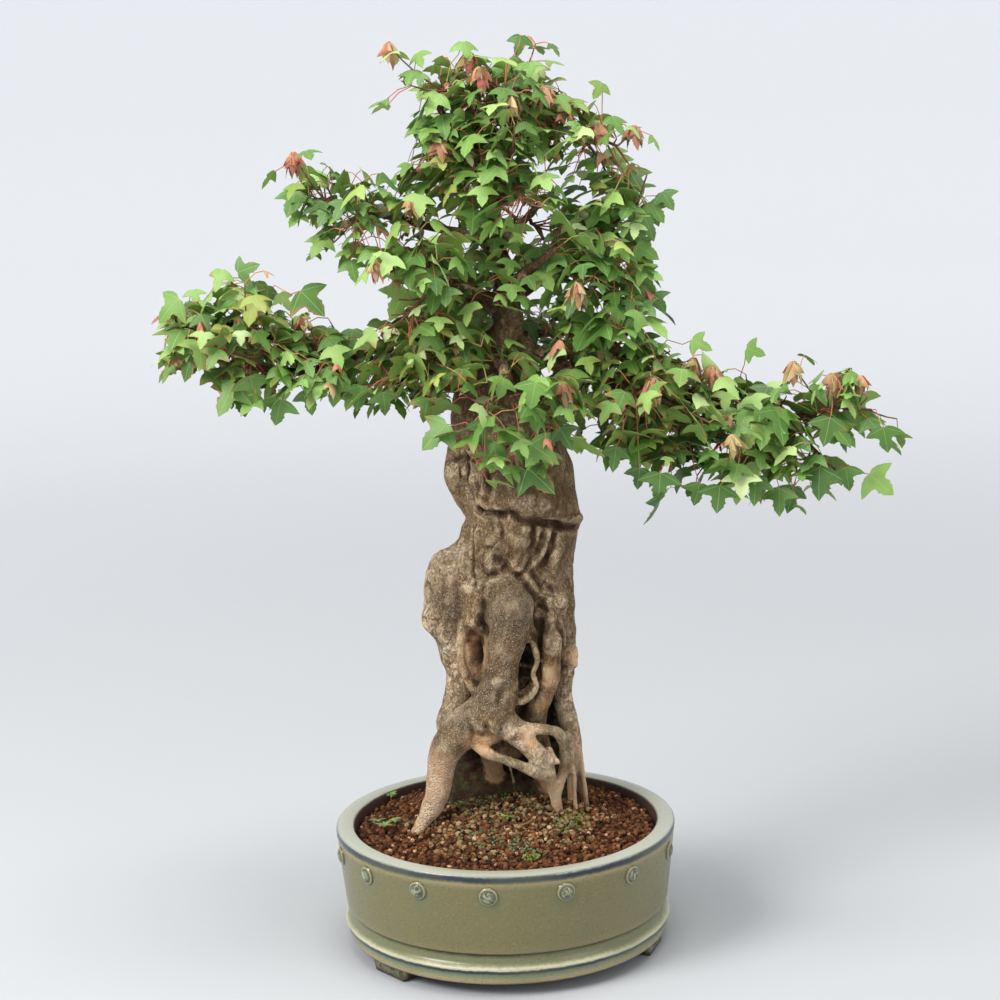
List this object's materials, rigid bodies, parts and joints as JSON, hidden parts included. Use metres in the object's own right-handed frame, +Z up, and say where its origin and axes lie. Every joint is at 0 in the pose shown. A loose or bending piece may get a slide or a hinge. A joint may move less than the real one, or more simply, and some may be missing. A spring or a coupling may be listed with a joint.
{
  "type": "trident maple bonsai",
  "caption": "Potted bonsai: a gnarled trunk on exposed roots carries spreading limbs of lobed leaves, planted in grain soil in a round glazed drum pot with nail studs and bracket feet.",
  "frame": {"origin": "on the surface that the pot's feet stand on, under the middle of the whole plant's box", "axes": "+Z up, -Y towards the front of the tree, +X to the right of its front"},
  "size_m": [0.6498, 0.3212, 0.7871],
  "materials": {
    "glaze": "gloss",
    "baked_clay": "rough",
    "bark": "rough",
    "leaf": "satin",
    "mesh_plastic": "matte"
  },
  "bodies": {
    "root": {"pot": "glaze", "screen_0": "mesh_plastic", "screen_1": "mesh_plastic", "soil": "baked_clay", "spray_back_high_0": "leaf", "spray_back_high_1": "leaf", "spray_back_left_0": "leaf", "spray_back_left_1": "leaf", "spray_back_low_0": "leaf", "spray_back_low_1": "leaf", "spray_crown_front_0": "leaf", "spray_crown_front_1": "leaf", "spray_crown_left_0": "leaf", "spray_crown_left_1": "leaf", "spray_crown_left_2": "leaf", "spray_crown_right_0": "leaf", "spray_crown_right_1": "leaf", "spray_crown_top_0": "leaf", "spray_crown_top_1": "leaf", "spray_crown_top_2": "leaf", "spray_front_hanging_0": "leaf", "spray_front_hanging_1": "leaf", "spray_left_inner_0": "leaf", "spray_left_inner_1": "leaf", "spray_left_pad_0": "leaf", "spray_left_pad_1": "leaf", "spray_left_pad_2": "leaf", "spray_left_pad_3": "leaf", "spray_lower_left_0": "leaf", "spray_lower_left_1": "leaf", "spray_lower_left_2": "leaf", "spray_middle_left_0": "leaf", "spray_middle_left_1": "leaf", "spray_middle_left_2": "leaf", "spray_right_end_0": "leaf", "spray_right_end_1": "leaf", "spray_right_end_2": "leaf", "spray_right_inner_0": "leaf", "spray_right_inner_1": "leaf", "spray_right_inner_2": "leaf", "spray_right_middle_0": "leaf", "spray_right_middle_1": "leaf", "spray_right_middle_2": "leaf", "spray_right_pad_0": "leaf", "spray_right_pad_1": "leaf", "spray_right_pad_2": "leaf", "spray_right_pad_3": "leaf", "spray_right_upper_0": "leaf", "spray_right_upper_1": "leaf", "spray_right_upper_2": "leaf", "spray_upper_left_0": "leaf", "spray_upper_left_1": "leaf", "spray_upper_left_2": "leaf", "trunk": "bark"}
  },
  "joints": []
}
